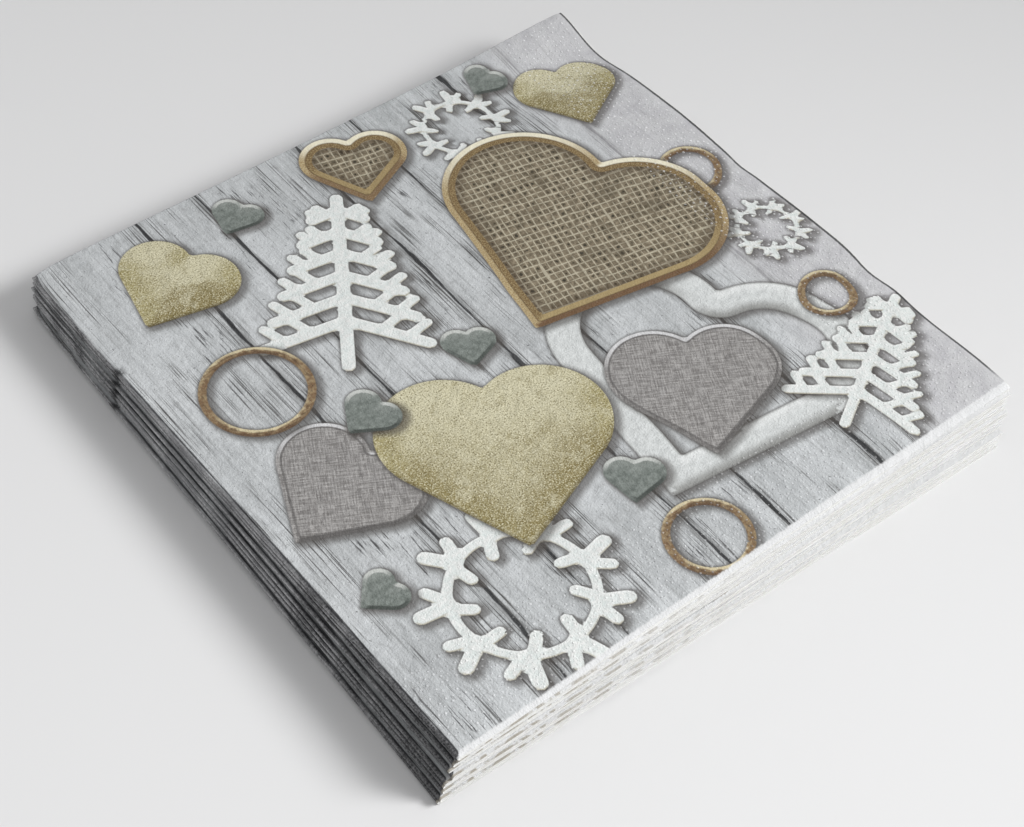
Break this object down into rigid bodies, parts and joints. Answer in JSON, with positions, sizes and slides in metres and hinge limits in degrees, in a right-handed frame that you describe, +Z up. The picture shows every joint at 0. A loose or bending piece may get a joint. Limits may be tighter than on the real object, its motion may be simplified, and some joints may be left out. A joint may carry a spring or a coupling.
{
  "type": "stack of paper napkins",
  "caption": "Loose square stack of quarter-folded printed paper napkins, with folded edges along the left and back and open cut edges along the front and right.",
  "frame": {"origin": "on the surface that the stack rests on, under the middle of the stack", "axes": "+Z up; +X from the side fold to the open side edge; +Y from the open front edge to the back fold"},
  "size_m": [0.17, 0.1699, 0.015],
  "materials": {
    "printed_tissue": "matt embossed tissue printed on its outer face"
  },
  "bodies": {
    "root": {"napkin_01": "printed_tissue", "napkin_02": "printed_tissue", "napkin_03": "printed_tissue", "napkin_04": "printed_tissue", "napkin_05": "printed_tissue", "napkin_06": "printed_tissue", "napkin_07": "printed_tissue", "napkin_08": "printed_tissue", "napkin_09": "printed_tissue", "napkin_10": "printed_tissue"}
  },
  "joints": []
}
